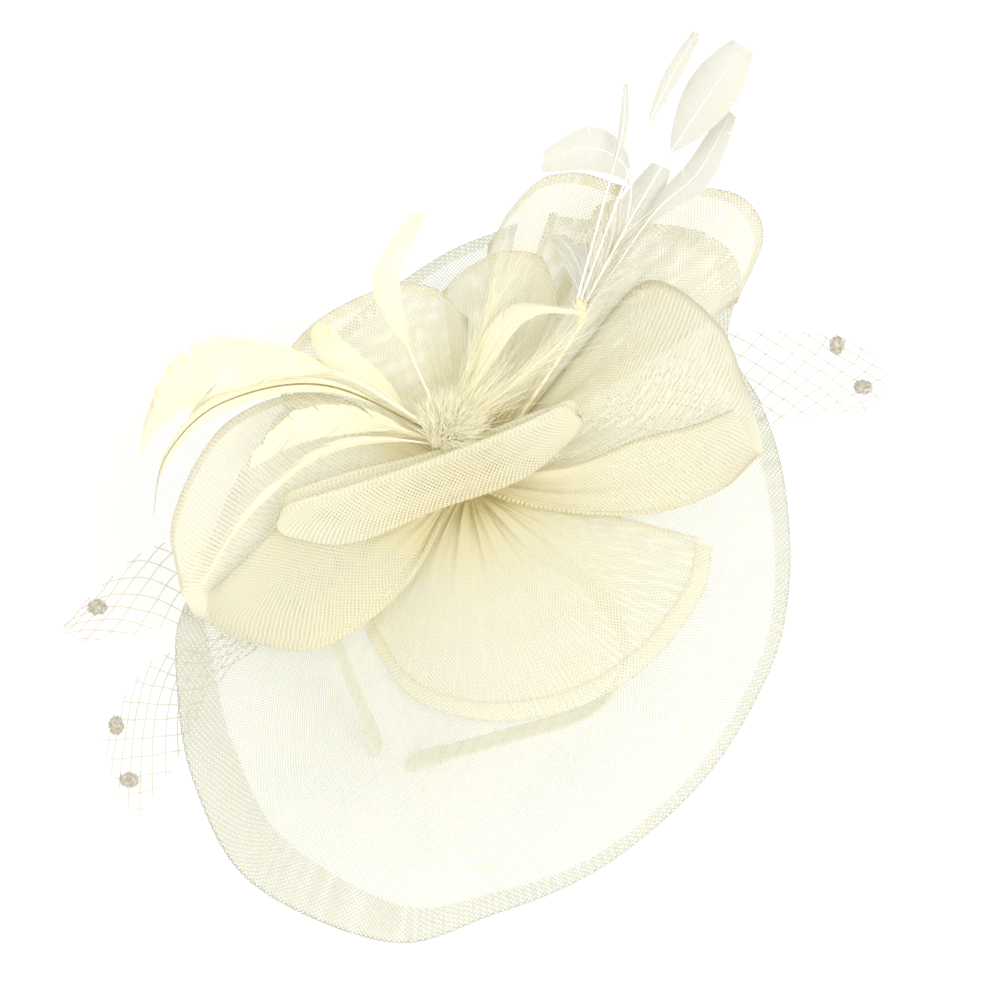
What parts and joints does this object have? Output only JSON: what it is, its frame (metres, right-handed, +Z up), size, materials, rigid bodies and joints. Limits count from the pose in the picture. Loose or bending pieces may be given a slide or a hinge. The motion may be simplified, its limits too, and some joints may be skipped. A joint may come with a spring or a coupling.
{
  "type": "fascinator headpiece",
  "caption": "Dress hat on a sprung headband: gathered open-mesh brim, looped mesh petals, curled feathers and dotted net veiling; the band's arms spring apart over the head.",
  "frame": {"origin": "centre of the headband's round arc, on the band's middle plane, where the head is", "axes": "+Z up to the crown of the band, +Y to the back of the wearer's head and along the arc's axis, -Y to the face, +X to the wearer's left"},
  "size_m": [0.2576, 0.3138, 0.3001],
  "materials": {
    "open_mesh": "sheer, slightly glossy woven nylon",
    "mesh_hem": "doubled mesh",
    "feather": "soft, matt",
    "marabou": "fluffy",
    "net": "matt thread",
    "chenille": "fluffy",
    "felt": "matt felt",
    "satin_ribbon": "satin",
    "thread": "wound thread",
    "covered_wire": "paper-covered",
    "spring_steel": "brushed",
    "clear_adhesive": "glossy"
  },
  "bodies": {
    "ornament": {"band_steel_crown": "spring_steel", "band_ribbon_crown": "satin_ribbon", "band_glue": "clear_adhesive", "base_pad": "felt", "gathered_core": "open_mesh", "binding_thread": "thread", "quill_binding": "thread", "brim_mesh": "open_mesh", "front_petal": "open_mesh", "front_petal_hem": "mesh_hem", "left_pocket": "open_mesh", "right_pocket": "open_mesh", "boat_loop": "open_mesh", "upper_left_petal": "open_mesh", "top_petal": "open_mesh", "back_left_lobe": "open_mesh", "back_right_lobe": "open_mesh", "arching_feather_1": "feather", "arching_feather_2": "feather", "arching_feather_3": "feather", "arching_feather_4": "feather", "arching_feather_5": "feather", "upright_feather": "feather", "curl_feather_left": "feather", "curl_feather_right": "feather", "spray_wire": "covered_wire", "spray_binding": "thread", "spray_feather_1": "feather", "spray_feather_2": "feather", "spray_feather_3": "feather", "spray_feather_4": "feather", "spray_feather_5": "feather", "spray_feather_6": "feather", "spray_feather_7": "feather", "marabou_puff": "marabou", "veil_left_upper": "net", "veil_left_lower": "net", "veil_right": "net", "veil_dot_left_1": "chenille", "veil_dot_left_2": "chenille", "veil_dot_left_3": "chenille", "veil_dot_right_1": "chenille", "veil_dot_right_2": "chenille"},
    "arm_left": {"band_steel_left": "spring_steel", "band_ribbon_left": "satin_ribbon", "end_cap_left": "satin_ribbon"},
    "arm_right": {"band_steel_right": "spring_steel", "band_ribbon_right": "satin_ribbon", "end_cap_right": "satin_ribbon"}
  },
  "joints": [
    {"name": "arm_left_spring", "type": "hinge", "parent": "ornament", "child": "arm_left", "pos_m": [-0.05338, 0, 0.02489], "axis": [0, 1, 0], "range_deg": [0, 25], "stiffness_Nm_per_rad": 0.4},
    {"name": "arm_right_spring", "type": "hinge", "parent": "ornament", "child": "arm_right", "pos_m": [0.05338, 0, 0.02489], "axis": [0, -1, 0], "range_deg": [0, 25], "stiffness_Nm_per_rad": 0.4}
  ]
}
